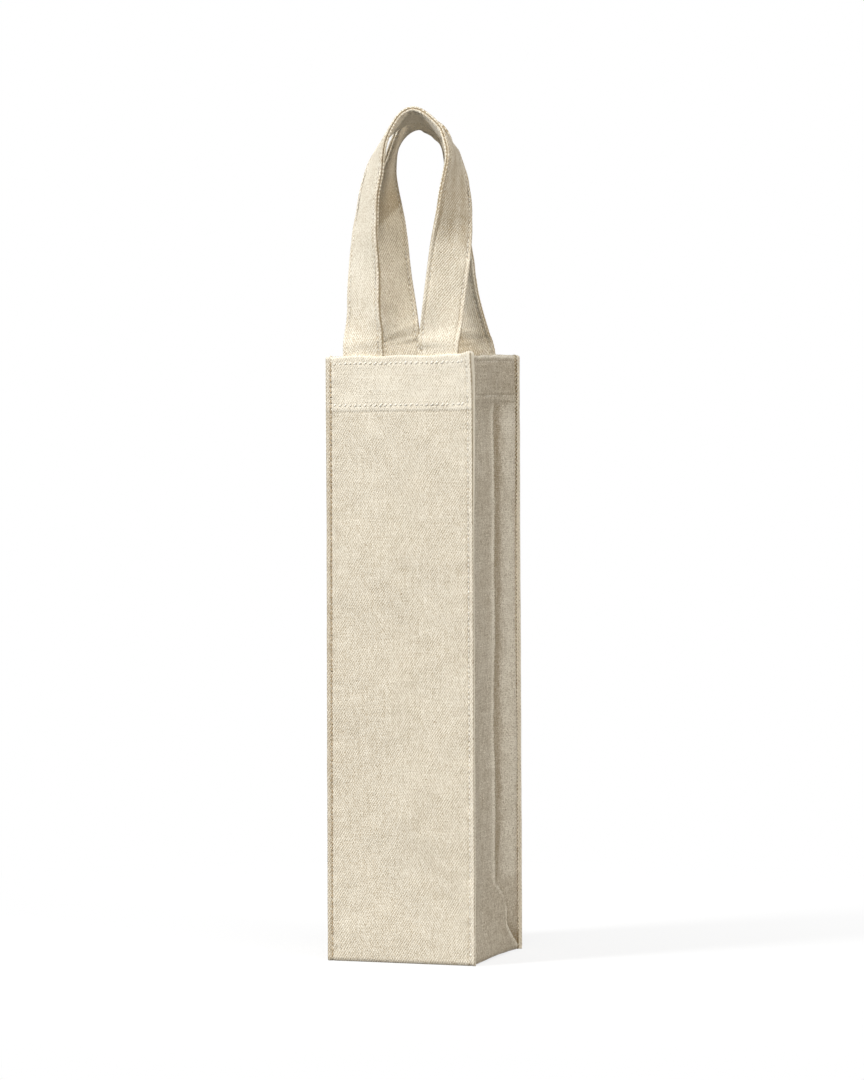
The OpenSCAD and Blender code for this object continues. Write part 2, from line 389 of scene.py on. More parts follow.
def pleat_profile(y):
    """Depth of the pleat across a gusset: straight between knots, rounded by a short moving average.

    It is gentle to the pressed line, deepest just behind it, and runs out slowly.
    """
    knots = np.array([-HALF_D, -HALF_D + 5, -24.0, -8.0, 1.5, 4.2, 7.4, 11.0, 18.0, HALF_D - 5, HALF_D])
    depth = np.array([0.25, 0.0, 2.30, 2.90, 2.60, 2.0, 4.7, 5.0, 4.3, 0.1, 0.0])
    fine = np.linspace(-HALF_D, HALF_D, 353)
    return np.interp(y, fine, smooth_along(np.interp(fine, knots, depth), 5))


def crease_distance(y, z, path):
    """Signed distance in the gusset's plane from a crease path, positive behind and above it."""
    best = np.full(y.shape, 1e9)
    sign = np.ones(y.shape)
    for (y0, z0), (y1, z1) in zip(path, path[1:]):
        run, climb = y1 - y0, z1 - z0
        share = np.clip(((y - y0) * run + (z - z0) * climb) / (run ** 2 + climb ** 2), 0, 1)
        dy, dz = y - y0 - share * run, z - z0 - share * climb
        distance = np.hypot(dy, dz)
        nearer = distance < best
        best = np.where(nearer, distance, best)
        sign = np.where(nearer, np.sign(run * dz - climb * dy), sign)
    return best * sign


def under_pleat(z):
    """1 near the ground, 0 from the pleat's foot up, falling slowly at first."""
    return np.clip(1 - z / PLEAT_FOOT, 0, 1) ** 0.3


def web_x(y, z, seed):
    """Distance of a gusset's mid surface from the bag's middle plane.

    The shoulder, rounded at both sides, less the pleat, which is flatter in the hem and ends at its foot by a
    soft minimum with a plane. Creases, waves and a drawn-in foot are added, fading to the edges.
    """
    turn = 1.9 * np.exp(-np.clip(HALF_D - 1.6 - np.abs(y), 0, None) / 1.3)
    in_hem = soft_edge(HEIGHT - HEM - z, 3.0)
    pleat = pleat_profile(y) * (1 - 0.8 * in_hem)
    flat = PLEAT * np.clip(z / PLEAT_FOOT, 0, 2)
    depth = -0.5 * np.log(np.exp(-pleat / 0.5) + np.exp(-flat / 0.5))
    rear = crease_distance(y, z, REAR_CREASE)
    front = crease_distance(-y, z, FRONT_CREASE)
    fold = 0.75 * (bump(rear, 0.9) - 1.3 * bump(rear - 2.4, 2.2)) + 0.25 * bump(front, 1.0)
    waves = ripple(y, z, seed, 60, 0.30) + ripple(y, z, seed + 1, 20, 0.08)
    foot = -0.8 * np.clip(1 - z / 2.5, 0, 1) ** 2
    ends = np.clip((HALF_D - np.abs(y)) / 6, 0, 1)
    return SHOULDER_X - CLOTH / 2 - turn - depth + (under_pleat(z) * fold + waves + foot) * ends


def gusset_shade(y, z):
    """Painted shade and painted light on a gusset's outer face, as a sum: minus is darker.

    Above the pleat's foot the pressed line has a painted highlight, the fold behind it painted shade and the
    cloth before the back flange painted light. Lower down the rear crease is a painted highlight in painted
    shade, with a painted shadow in the corner behind it. The roots of the flanges and the hem, with its rows
    and turned edge, have painted shade, but for a painted highlight on its top.
    """
    below = HEIGHT - z
    up = np.clip((z - PLEAT_FOOT + 2) / 3, 0, 1) * np.clip((below - SIDE_TURN) / 4, 0, 1)
    pressed_highlight = 1.00 * bump(y - 2.0, 1.8) + 0.30 * bump(y, 4)
    narrow = np.clip(1 - (z - PLEAT_FOOT) / 30, 0, 1)
    fold = -1.20 * smooth_step(y, 3.8, 5.5) * (1 - smooth_step(y, 17 - 9 * narrow, 24 - 12 * narrow))
    light_before_flange = 0.85 * bump(y - 32, 9)

    rear = crease_distance(y, z, REAR_CREASE)
    crease = 2.4 * bump(rear, 1.1) - 1.10 * bump(rear - 2.4, 1.5) - 0.25 * (rear < 0)
    corner = -2.2 * np.clip((y - 18) / 12, 0, 1) * np.clip(1 - z / 26, 0, 1) * bump(rear - 4.5, 4.0)

    rows = -0.25 * (bump(below - EDGE_ROW, 0.7) + bump(below - SIDE_HEM, 0.7))
    turned = -0.35 * bump(below - SIDE_TURN - 0.4, 0.5)
    hem = -0.30 * np.clip((SIDE_HEM + 1 - below) / 2, 0, 1)
    top = 1.8 * bump(below, 1.1)
    roots = -(0.20 + 0.10 * np.sign(y)) * bump(HALF_D - 3.2 - np.abs(y), 1.8)
    return (
        up * (pressed_highlight + fold + light_before_flange) + under_pleat(z) * crease + corner
        + rows + turned + hem + top + roots
    )


def gusset_plan(seed, z):
    """Rows of a gusset: in along the front flange, back across the web and out along the back flange.

    A flange lies close behind its panel and opens from it towards its lip and the mouth.
    """
    y_web = steps(
        [-HALF_D + WEB_MARGIN, -HALF_D + 8, -3, 9, HALF_D - 8, HALF_D - WEB_MARGIN],
        [0.5, 1.4, 0.5, 1.4, 0.5],
    )
    web_y, web_z = np.meshgrid(y_web, z)
    arched = FOOT_ARCH * np.cos(math.pi / 2 * web_y / HALF_D) * np.clip(1 - web_z / 30, 0, 1)
    web = np.stack([web_x(web_y, web_z, seed), web_y, web_z + arched], -1)
    root, lip_z = np.meshgrid(np.linspace(0, 1, LIP_POINTS), z)
    lip = 1 - root
    width = FLANGE - 0.7 + 0.9 * smooth_step(lip_z, FLARE_START, 325)
    flange_x = ROOT_X + 0.5 + width * lip ** 0.9
    gap = (0.30 + 0.45 * np.clip(lip_z / HEIGHT, 0, 1)) * lip ** 2
    flange_y = -HALF_D + CLOTH * 1.55 + 0.75 * root ** 5 + gap
    front = np.stack([flange_x, flange_y, lip_z], -1)
    back = np.stack([flange_x - 0.9 * lip, -flange_y, lip_z], -1)[:, ::-1]
    return np.concatenate([front, web, back], axis=1)


def make_gusset(name, side, seed):
    """Left (-1) or right (1) gusset: web with its pleat, hem folded inside, a flange along each upright edge.

    The hem hangs one layer inside the web, without the flanges. The left gusset is the right one mirrored.
    """
    outer = gusset_plan(seed, OUT_ROWS)
    inside = gusset_plan(seed, HEIGHT - IN_ROWS)
    inside[..., 0] -= LAYER
    reach = HALF_D - WEB_MARGIN - LAYER
    inside[..., 1] = np.clip(inside[..., 1], -reach, reach)
    web_low, web_high = LIP_POINTS, inside.shape[1] - LIP_POINTS
    inside[:, :web_low] = inside[:, web_low:web_low + 1]
    inside[:, web_high:] = inside[:, web_high - 1:web_high]
    spread = np.linspace(0, 0.4, LIP_POINTS)
    inside[:, :web_low, 1] -= spread[::-1]
    inside[:, web_high:, 1] += spread
    mid = folded_over(outer, inside)
    y, z = outer[..., 1], outer[..., 2]
    below = HEIGHT - z
    web = np.clip((HALF_D - np.abs(y) - 3) / 2, 0, 1)
    rows = stitched(below - EDGE_ROW, y, 0.3) + stitched(below - SIDE_HEM, y, 0.3)
    turned = 0.20 * soft_edge(below - SIDE_TURN, 0.25)
    relief, shade = np.zeros(mid.shape[:2]), np.zeros(mid.shape[:2])
    relief[:OUT_COUNT] = (rows + turned + ripple(y, z, seed + 5, 14, 0.03)) * web
    shade[:OUT_COUNT] = gusset_shade(y, z)
    # Painted highlight along the fold over the top edge, painted shade on the flanges a little in from their
    # lips, a painted highlight on the lips' edges and painted light on the lips' other face.
    shade[BENT] = 1.0
    shade[:, 1:5] -= 1.1
    shade[:, -5:-1] -= 0.3
    shade[:, [0, -1]] += [3.0, 1.4]
    painted_lip_light = np.zeros_like(shade)
    painted_lip_light[:, :4] = painted_lip_light[:, -4:] = 4.0
    plan = path_lengths(outer[OUT_COUNT // 2])
    plan -= plan[-1] / 2
    uv = np.stack(np.broadcast_arrays(plan[None, :], flat_rows(mid)[:, None]), -1)
    mid = settle(mid * [side, 1, 1])
    if side < 0:
        mid, relief, shade, uv = (grid[:, ::-1] for grid in (mid, relief, shade, uv * [-1, 1]))
    return cloth_shell(name, mid, uv, relief, shade, painted_lip_light)


def make_base():
    """Square base sheet, dished up in the middle and turned up at its edges by powers of the distance."""
    edge = HALF_W - 2.4
    line = steps([-edge, -edge + 3, edge - 3, edge], [0.5, 2.0, 0.5])
    x, y = np.meshgrid(line, line)
    to_edge = edge - np.maximum(np.abs(x), np.abs(y))
    dish = 0.5 * np.clip(to_edge / 20, 0, 1) ** 0.7 + 0.25 * np.clip(1 - to_edge / 2, 0, 1) ** 2
    arched = FOOT_ARCH * np.cos(math.pi / 2 * y / HALF_D) * bump(edge - np.abs(x), 14)
    soft = ripple(x, y, 71, 25, 0.06) * np.clip(to_edge / 10, 0, 1)
    mid = np.stack([x, y * (HALF_D - 1.4) / edge, CLOTH / 2 + 0.05 + dish + arched + soft], -1)
    return cloth_shell("base_cloth", settle(mid), np.stack([x, y], -1))


# Handles

LEAN = 25.5
STRAP_LINE = STRAP_W / 2 - STRAP_ROW


class Loop:
    """One handle: where it is sewn on, how it sways, how high it stands, how it bows, and how its legs turn.

    Sways are how far the strap drifts sideways, early and at the crown. Each leg has its own arch exponent,
    its bows of one and two half waves, and its turns: degrees between two shares of the rise. The crown rolls
    its front edge up by some degrees, most at a place beside the top, over some width.
    """

    def __init__(self, side, shift, sways, rise, arches, bows, turns, roll):
        self.side, self.shift, self.sways, self.rise = side, shift, sways, rise
        self.arches, self.bows, self.turns, self.roll = arches, bows, turns, roll

    def leg(self, u, right):
        """Centre of a leg at share u of the rise: bowed by sines, then drawn in under a peaked arch."""
        whole, double = self.bows[right]
        bowed = LEG_X + whole * np.sin(math.pi * u) + double * np.sin(2 * math.pi * u)
        half = bowed * np.clip(1 - u ** self.arches[right], 0, 1) ** 0.625
        sway = self.sways[0] * u ** 1.5 + self.sways[1] * u ** 8
        return np.stack([
            self.shift + (half if right else -half) + sway,
            -STRAP_Y + LEAN * u ** 1.2,
            HEIGHT + self.rise * u,
        ], -1)

    def turned(self, u, right):
        """Angle of the strap's width at share u: 0 degrees on the left leg's base, 180 on the right leg's."""
        turn = sum(angle * smooth_step(u, start, end) for angle, start, end in self.turns[right])
        return 180 - turn if right else turn

    def line(self, count=440):
        """Evenly spaced centres, angles and lengths from one sewn end over the arch to the other."""
        share = 1 - (1 - np.linspace(0, 1, 900)) ** 3
        back_down = share[::-1][1:]
        drop = np.array([0, 0, HEM - 0.6])
        left, right = self.leg(share, 0), self.leg(back_down, 1)
        centre = np.concatenate([left[:1] - drop, left, right, right[-1:] - drop])
        angle = np.concatenate([[0], self.turned(share, 0), self.turned(back_down, 1), [180]])
        length = path_lengths(centre)
        even = np.linspace(0, length[-1], count)
        return along_path(even, length, centre), np.interp(even, length, angle), even

    def frames(self):
        """Centres, across and outward directions of the strap, and its length at each ring.

        Two bumps lean the averaged line out and in above the hem. Across is level at the strap's angle, apart
        from the crown's roll, and outward is square to it and to the line.
        """
        centre, angle, length = self.line()
        above = above_hem(length)
        centre = smooth_along(centre, 13)
        centre[:, 1] -= 0.7 * bump(above - 7, 4.0) - 0.3 * bump(above - 17, 6.0)
        angle = np.radians(smooth_along(angle, 9))
        peak, place, width = self.roll
        beside = (1 - np.clip((centre[:, 2] - HEIGHT) / self.rise, 0, 1)) * np.where(on_left(length), -1, 1)
        roll = math.radians(peak) * smooth_along(bump(beside - place, width), 15)
        level = np.stack([-np.cos(angle), np.sin(angle), self.side * np.sin(roll)], -1)
        centre[:, 2] += self.side * STRAP_W / 2 * np.sin(roll)
        along = unit(np.gradient(centre, axis=0))
        outward = unit(np.cross(along, level))
        return centre, np.cross(outward, along), outward, length


def above_hem(length):
    """Distance along a strap from the nearer point where it leaves the hem."""
    return np.minimum(length, length[-1] - length) - HEM


def on_left(length):
    """Which rings of a strap belong to its left leg."""
    return length < length[-1] / 2


def strap_face(a):
    """Height of a strap's face at distance a from its middle: a pillow with a groove at each stitch row."""
    puff = 0.14 * (1 - (a / STRAP_LINE) ** 2)
    return STRAP_T / 2 + np.maximum(puff, -0.05) - 0.42 * bump(np.abs(a) - STRAP_LINE, 0.6)


def strap_section():
    """Outline of the folded strap: two faces, and two rolled layers with a notch between at each edge."""
    bead = STRAP_T / 4
    turn = np.radians(np.linspace(80, -55, 7))
    rim = np.stack([STRAP_W / 2 - bead + bead * np.cos(turn), bead + bead * np.sin(turn)], -1)
    notch = np.array([[STRAP_W / 2 - 1.5 * bead, 0]])
    right = np.concatenate([rim, notch, rim[::-1] * [1, -1]])
    flank = steps([0, STRAP_LINE - 1.2, STRAP_LINE + 1.2], [1.7, 0.4])
    a = np.concatenate([-flank[::-1], flank[1:]])
    face = np.stack([a, strap_face(a)], -1)
    return np.concatenate([face, right, -face, -right])


def strap_waves(loop, a, s, seed):
    """Height of the waves in a strap at distance a from its middle and length s along it.

    Soft ripples, and above the hem a slanted crease with a swell over it, fading towards one edge. The back
    strap has a second, steeper one.
    """
    above, left = above_hem(s), on_left(s)
    ripples = ripple(a, s, seed, 34, 0.20) + ripple(a, s, seed + 1, 11, 0.07)
    ripples = ripples * np.clip(above / 6, 0, 1)
    if loop.side > 0:
        crease = above - 7.5 + 0.12 * a
        fading = np.clip(0.7 - a / 24, 0, 1)
        second = crease - 6.5 + 0.2 * a
        steeper = 0.15 * bump(second - 2.5, 2.0) - 0.25 * bump(second, 1.5)
    else:
        crease = above - 4.5 + 0.16 * a * np.where(left, 1, -1)
        fading = np.clip(0.45 - a / 16, 0, 1) * np.where(left, 0.4, 1)
        steeper = 0.0
    return ripples + fading * (0.20 * bump(crease - 2.8, 1.8) - 0.36 * bump(crease, 1.3)) + steeper


def strap_shade(loop, a, b, s):
    """Painted shade and painted light on a strap at distance a from its middle, height b and length s:
    minus is darker.

    Painted shade in the stitch rows and painted shadow in the gap between the rolled layers. The back strap's
    inner face has a painted shadow above a slanted line on the left leg, painted shade at the foot of the
    right one and painted light over that. The front strap's outer face has painted shade in folds on the
    upper right leg.
    """
    above, left = above_hem(s), on_left(s)
    low = np.clip(1 - above / 75, 0, 1) * np.clip(above / 4, 0.3, 1)
    rolled = np.abs(a) > STRAP_LINE + 1
    gap = rolled * (1.5 * bump(b, 0.40) + 1.6 * low * bump(b + 0.4, 0.7))
    shade = -0.45 * bump(np.abs(a) - STRAP_LINE, 0.6) - gap
    if loop.side > 0:
        # Painted shadow on the left leg, painted shade at the right leg's foot and painted light above it.
        start = 80 - 0.6 * a
        turned = smooth_step(above, start - 1.8, start + 1.8) * np.clip((136 - above) / 10, 0, 1) * left
        turned = turned * (1 - 0.6 * smooth_step(above, start + 8, start + 26))
        pale = smooth_step(above, 20, 42) * (1 - smooth_step(above, 80, 95)) * ~left
        foot = smooth_step(10 - 0.55 * above - a, 0, 12) * (1 - smooth_step(above, 22, 40)) * ~left
        return shade + (b < 0) * (0.6 * pale - 0.9 * turned - 0.9 * foot)
    # Painted shade in soft folds on the upper right leg.
    up = above + 0.25 * a
    upper_leg_shade = smooth_step(up, 58, 72) * (1 - 0.4 * smooth_step(up, 100, 130)) * ~left
    folds = 0.75 + 0.35 * np.sin(0.75 * a + up / 23)
    return shade - 0.60 * (b > 0) * upper_leg_shade * folds


def make_strap(name, loop, seed):
    """One handle: its section carried along the line from sewn end to sewn end, with waves in the cloth."""
    centre, across, outward, length = loop.frames()
    a, b = strap_section().T[:, None]
    s = length[:, None]
    raised = b + strap_waves(loop, a, s, seed)
    points = centre[:, None] + across[:, None] * a[..., None] + outward[:, None] * raised[..., None]
    rings, sides = points.shape[:2]
    caps = [list(range(sides)), list(range((rings - 1) * sides, rings * sides))[::-1]]
    faces = tube_faces(rings, sides).tolist() + caps
    width = loop.side * np.where(b >= 0, a, STRAP_W + 2 - a)
    uv = np.stack(np.broadcast_arrays(width, s), -1).reshape(-1, 2)
    if loop.side > 0:
        faces = [face[::-1] for face in faces]
    points = settle(points.reshape(-1, 3) * [1, -loop.side, 1])
    return new_piece(name, points, faces, uv, "shade", strap_shade(loop, a, b, s))


# Stitches: how proud, thick, long, slanted and flat each kind's thread is, and how dark its painted shade
# in the needle holes is
SEAM_STITCH = {"proud": 0.20, "thread": 0.34, "cover": 0.84, "slant": 0.10, "flat": 0.8, "dark": 1.0}
HEM_STITCH = {"proud": 0.18, "thread": 0.38, "cover": 0.50, "slant": 1.0, "flat": 0.9, "dark": 0.35}
STRAP_STITCH = {"proud": 0.10, "thread": 0.28, "cover": 0.84, "slant": 0.10, "flat": 0.8, "dark": 0.8}


def stitch_shape(rings=6, sides=6):
    """One stitch, one unit long: points and rise of a short thread, its faces, and its needle-hole marks.

    The thread rises out of one needle hole and dips into the next along a power of a sine.
    """
    t = np.linspace(0, 1, rings)
    angle = np.linspace(0, 2 * math.pi, sides, endpoint=False)
    arc = np.sin(math.pi * t)
    radius = 0.55 + 0.45 * np.sin(math.pi * np.clip(t, 0.03, 0.97)) ** 0.5
    # Painted shade at each ring, darkest where the thread dips into its needle holes.
    hole = np.repeat(np.clip(1 - 2.2 * arc, 0, 1), sides)
    points = np.stack(np.broadcast_arrays(
        (t - 0.5)[:, None], radius[:, None] * np.cos(angle), radius[:, None] * np.sin(angle),
    ), -1)
    near_end = np.array([[0, 1, 2, 3], [0, 3, 4, 5]])
    far_end = near_end[:, ::-1] + (rings - 1) * sides
    return points, arc ** 0.6, np.concatenate([tube_faces(rings, sides), near_end, far_end]), hole


def stitch_row(line, normal, seed, proud, thread, cover, slant, flat, dark):
    """Points, faces and hole marks of stitches along a line that lies on the cloth.

    Pitch, length and slant vary a little by normal draws, and slow sines sink slanted ones into the cloth.
    """
    random = np.random.default_rng(seed)
    length = path_lengths(line)
    count = int(length[-1] / STITCH)
    at = (np.arange(count) + 0.5 + random.normal(0, 0.06, count)) * length[-1] / count
    centre = along_path(at, length, line)
    along = unit(along_path(at + 0.4, length, line) - along_path(at - 0.4, length, line))
    across = unit(np.cross(along_path(at, length, normal), along))
    out = np.cross(along, across)
    slant = slant + random.normal(0, 0.05 + 0.12 * slant, (count, 1))
    sunk = 0.06 * (np.sin(at / 6.1 + seed) + np.sin(at / 2.7)) * slant[:, 0]
    along, across = along + across * slant, across - along * slant
    shape, rise, faces, hole = stitch_shape()
    size = STITCH * cover * random.normal(1, 0.04, (count, 1, 1, 1))
    height = shape[None, ..., 2:3] * thread * flat + (rise[None, :, None, None] - 0.65) * proud * 2
    points = (
        centre[:, None, None]
        + along[:, None, None] * shape[None, ..., 0:1] * size
        + across[:, None, None] * shape[None, ..., 1:2] * thread
        + out[:, None, None] * (height - sunk[:, None, None, None])
    )
    faces = (faces[None] + np.arange(count)[:, None, None] * len(hole)).reshape(-1, 4)
    return points.reshape(-1, 3), faces, dark * np.tile(hole, count)


def make_stitches(name, rows):
    """Joins several stitch rows, each its points, faces and hole marks, into one piece."""
    points, faces, holes = zip(*rows)
    starts = np.cumsum([0] + [len(row) for row in points])
    faces = np.concatenate([row + start for row, start in zip(faces, starts)])
    points, holes = np.concatenate(points), np.concatenate(holes)
    uv = np.stack([points[:, 0] + points[:, 1], points[:, 2]], -1)
    return new_piece(name, points, faces.tolist(), uv, "hole", holes)


def facing(line, x, y):
    """One level direction for every point of a line."""
    return np.broadcast_to([x, y, 0.0], line.shape)


def seam_line(side_x, side_y, seed, inside):
    """Line and normals of an upright seam, on the panel's outer face or inside, on the gusset's flange."""
    z = np.linspace(2.0, HEIGHT - 2.0, 400)
    x = np.full_like(z, side_x * (HALF_W - (SEAM_ROW - 0.25 if inside else SEAM_GROOVE)))
    y = np.full_like(z, HALF_D - CLOTH * 2.1) if inside else panel_face(x, z, seed)
    line = settle(np.stack([x, y * side_y, z], -1))
    return line, facing(line, 0, -side_y if inside else side_y)


def panel_row_line(side, below, seed):
    """Line and normals of a hem row across the front (-1) or back (1) panel."""
    reach = HALF_W - FLANGE - 0.6
    x = np.linspace(-reach, reach, 600)
    z = np.full_like(x, HEIGHT - below)
    line = settle(np.stack([x, panel_face(x, z, seed) * side, z], -1))
    return line, facing(line, 0, side)


def gusset_row_line(side, below, seed):
    """Line and normals of a hem row across the left (-1) or right (1) gusset."""
    y = np.linspace(-HALF_D + 5, HALF_D - 5, 600)
    z = np.full_like(y, HEIGHT - below)
    x = web_x(y, z, seed) + CLOTH / 2 - 0.26
    line = settle(np.stack([side * x, y, z], -1))
    return line, facing(line, side, 0)


def strap_row_line(loop, edge, face):
    """Line and normals of one stitch row of a strap, on its outer (1) or inner (-1) face."""
    centre, across, outward, length = loop.frames()
    lift = float(strap_face(np.array(STRAP_LINE))) + 0.05
    keep = slice(int(len(length) * 0.03), int(len(length) * 0.97))
    line = centre + across * STRAP_LINE * edge + outward * lift * face
    flip = np.array([1, -loop.side, 1])
    return settle(line * flip)[keep], (outward * face * flip)[keep]


# Materials

def math_method(operation):
    """A method that adds a Math node with this operation on a number and others."""
    def method(self, *others):
        return self.shader.node("ShaderNodeMath", {"operation": operation}, [self, *others])
    return method


class Number:
    """A number socket of a shader; arithmetic on it adds Math nodes."""

    def __init__(self, shader, socket):
        self.shader, self.socket = shader, socket

    __add__ = __radd__ = math_method("ADD")
    __sub__ = math_method("SUBTRACT")
    __mul__ = __rmul__ = math_method("MULTIPLY")
    __truediv__ = math_method("DIVIDE")
    __pow__ = math_method("POWER")
    sin = math_method("SINE")
    floor = math_method("FLOOR")
    fract = math_method("FRACT")
    most = math_method("MAXIMUM")
    least = math_method("MINIMUM")

    def __rsub__(self, other):
        return self.shader.node("ShaderNodeMath", {"operation": "SUBTRACT"}, [other, self])

    def clamp(self):
        return self.most(0.0).least(1.0)

    def fade(self, low, high):
        """0 below low, 1 above high, and straight between them."""
        return ((self - low) / (high - low)).clamp()


class Shader:
    """The node tree of a material or of the world, with one method that adds any node."""

    def __init__(self, owner):
        self.owner = owner
        owner.use_nodes = True
        self.tree = owner.node_tree
        self.tree.nodes.clear()

    def node(self, kind, settings=None, values=None, output=0):
        """Adds a node: settings first, then the value or link of each input, by place or by name."""
        made = self.tree.nodes.new(kind)
        for key, value in (settings or {}).items():
            setattr(made, key, value)
        pairs = values.items() if isinstance(values, dict) else enumerate(values or [])
        for key, value in pairs:
            if isinstance(value, Number):
                self.tree.links.new(value.socket, made.inputs[key])
            else:
                made.inputs[key].default_value = value
        if output is None:
            return made
        return Number(self, made.outputs[output])

    def mix(self, share, first, second):
        """Mixes two colours by a share."""
        return self.node("ShaderNodeMix", {"data_type": "RGBA"}, {0: share, 6: first, 7: second}, 2)

    def noise(self, where, scale, detail=2.0, rough=0.5):
        """Noise about 0.5 on some coordinates."""
        values = {"Vector": where, "Scale": scale, "Detail": detail, "Roughness": rough}
        return self.node("ShaderNodeTexNoise", None, values)

    def stretched(self, where, scale):
        """The same coordinates, scaled apart on each axis."""
        return self.node("ShaderNodeMapping", None, {"Vector": where, "Scale": scale})

    def parts(self, where):
        """The three numbers of some coordinates."""
        split = self.node("ShaderNodeSeparateXYZ", None, [where], None)
        return [Number(self, split.outputs[k]) for k in range(3)]

    def place(self):
        """The piece's own coordinates, in metres."""
        return self.node("ShaderNodeTexCoord", None, None, "Object")

    def mark(self, name):
        """A number that the mesh carries at each point."""
        return self.node("ShaderNodeAttribute", {"attribute_name": name}, None, "Fac")

    def seen(self):
        """1 where the camera looks, straight or by a mirror or glass, and 0 for other light."""
        paths = self.node("ShaderNodeLightPath", None, None, None)
        camera, glossy, glass = (
            Number(self, paths.outputs[f"Is {kind} Ray"]) for kind in ("Camera", "Glossy", "Transmission")
        )
        return camera.most(glossy).most(glass)

    def finish(self, colour, rough, height, depth, looks):
        """A plain finish: colour, roughness, a height that bumps it to some depth, and other looks."""
        bumped = self.node("ShaderNodeBump", None, {"Height": height, **depth})
        values = {"Base Color": colour, "Roughness": rough, "Normal": bumped, **looks}
        self.output(self.node("ShaderNodeBsdfPrincipled", None, values))
        return self.owner

    def output(self, surface, kind="ShaderNodeOutputMaterial"):
        """Ends the tree."""
        self.node(kind, None, [surface], None)


def rgb(red, green, blue):
    """A colour written as it looks on screen, 0 to 255, as linear values."""
    def linear(value):
        value /= 255
        return value / 12.92 if value <= 0.04045 else ((value + 0.055) / 1.055) ** 2.4
    return (linear(red), linear(green), linear(blue), 1.0)


YARN_MEAN = 0.66
YARN_MIDDLE = 0.72
# Share of the shade mark, painted shade and painted light, in the cloth's tone
SHADE_SHARE = 0.5
FLECK_BROWN = rgb(146, 116, 80)
# Painted shade where thread dips into its needle holes
HOLE_SHADE = rgb(96, 70, 44)


def cloth_material(name, base, deep, contrast=1.0):
    """Unbleached 2/1 twill on the cloth's own UV.

    Upright yarns pass over two crossing yarns and under one, one step higher on each next yarn. Their rounded
    floats and the slanted wales give height and tone, more strongly in patches. Uneven yarn, slubs, mottling
    and brown flecks vary the tone.
    """
    shader = Shader(bpy.data.materials.new(name))
    cloth = shader.node("ShaderNodeUVMap", {"uv_map": "cloth"})
    place = shader.place()
    across, up, _ = shader.parts(cloth)
    sway = shader.noise(cloth, 45.0) - 0.5
    drift = shader.noise(cloth, 38.0) - 0.5
    column = (across / MM + sway * 1.6) / WARP
    row = (up / MM + drift * 2.0) / WEFT
    step = row / 3 - column.floor() / 3
    warp = (column.fract() * math.pi).sin() * (step.fract() * (1.5 * math.pi)).sin().most(0.0)
    weft = (row.fract() * math.pi).sin()
    yarn = (warp ** 0.5).most(weft ** 0.5 * 0.62)
    wale = ((row / 3 - column / 3) * (2 * math.pi)).sin()
    crossing = ((row / 3 + column / 3) * (2 * math.pi)).sin()
    number = shader.node("ShaderNodeCombineXYZ", None, [column.floor(), step.floor()])
    uneven = shader.node("ShaderNodeTexWhiteNoise", {"noise_dimensions": "2D"}, {"Vector": number}) - 0.5
    broad = shader.noise(place, 34.0) - 0.5
    coarse = shader.noise(place, 110.0, 1.0) - 0.5
    medium = shader.noise(place, 240.0, 1.0) - 0.5
    fine = shader.noise(cloth, 1050.0, 1.0, 0.6) - 0.5
    slub_up = shader.noise(shader.stretched(cloth, (1100.0, 30.0, 1.0)), 1.0, 2.0, 0.6) - 0.5
    slub_across = shader.noise(shader.stretched(cloth, (34.0, 900.0, 1.0)), 1.0, 2.0, 0.6) - 0.5
    strong = shader.noise(place, 70.0, 1.0).fade(0.34, 0.62)
    floats = (yarn - YARN_MIDDLE) * (0.34 + 0.26 * strong)
    waves = wale * (0.06 + 0.20 * strong) + crossing * (0.22 - 0.14 * strong)
    mottling = uneven * 0.30 + coarse * 0.14 + medium * 0.18 + fine * 1.1 + broad * 0.22
    slubs = slub_up * 0.30 + slub_across * 0.30
    weave = (floats + waves + mottling + slubs) * contrast
    # The shade mark adds each point's painted shade and painted light to the tone.
    tone = (YARN_MEAN + weave + shader.mark("shade") * SHADE_SHARE).clamp()
    fleck = shader.noise(shader.stretched(cloth, (420.0, 620.0, 1.0)), 1.0, 1.0).fade(0.735, 0.80)
    colour = shader.mix(fleck * 0.7, shader.mix(tone, deep, base), FLECK_BROWN)
    height = (
        yarn * 0.7 + wale * (0.1 + 0.3 * strong) + crossing * (0.25 - 0.15 * strong)
        + fine * 1.6 + uneven * 0.3 + slub_across * 0.6 + slub_up * 0.5
    )
    return shader.finish(
        colour, 0.95 - 0.1 * tone, height, {"Strength": 0.45, "Distance": 0.2 * MM},
        {"Specular IOR Level": 0.2, "Sheen Weight": 0.12, "Sheen Roughness": 0.6},
    )


def thread_material(name, base, deep):
    """Twisted sewing thread: slanted plies as a sine, slight unevenness, and painted shade in needle holes.
    """
    shader = Shader(bpy.data.materials.new(name))
    place = shader.place()
    fine = shader.noise(place, 900.0)
    x, y, z = shader.parts(place)
    ply = ((x + y + z) * (2 * math.pi / (0.5 * MM))).sin()
    tone = (0.5 + ply * 0.25 + (fine - 0.5) * 1.2).clamp()
    colour = shader.mix(shader.mark("hole"), shader.mix(tone, deep, base), HOLE_SHADE)
    return shader.finish(
        colour, 0.7 + 0.1 * fine, ply * 0.5 + fine, {"Strength": 0.5, "Distance": 0.1 * MM},
        {"Specular IOR Level": 0.3, "Sheen Weight": 0.1},
    )


CANVAS = cloth_material("canvas", rgb(248, 241, 224), rgb(178, 162, 134))
